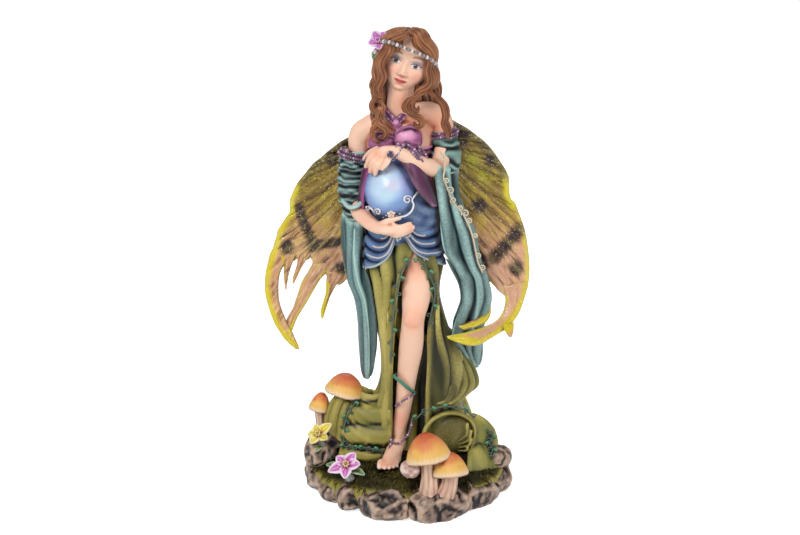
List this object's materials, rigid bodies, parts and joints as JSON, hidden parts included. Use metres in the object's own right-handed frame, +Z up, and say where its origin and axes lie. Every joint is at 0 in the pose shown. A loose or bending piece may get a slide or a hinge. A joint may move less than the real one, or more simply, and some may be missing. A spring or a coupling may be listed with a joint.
{
  "type": "fairy figurine",
  "caption": "Free-standing painted resin figurine of an expecting fairy with spread wings and a draped dress, on a rocky base with mushrooms and flowers.",
  "frame": {"origin": "centre of the flat underside of the base", "axes": "+Z up along the figure, -Y out of its front, +X to its own left"},
  "size_m": [0.1257, 0.0927, 0.2199],
  "materials": {
    "painted_resin": "hand-painted cast resin, satin",
    "wing_paint": "hand-painted cast resin with glitter, satin"
  },
  "bodies": {
    "root": {"figure": "painted_resin", "right_wing": "wing_paint", "left_wing": "wing_paint"}
  },
  "joints": []
}
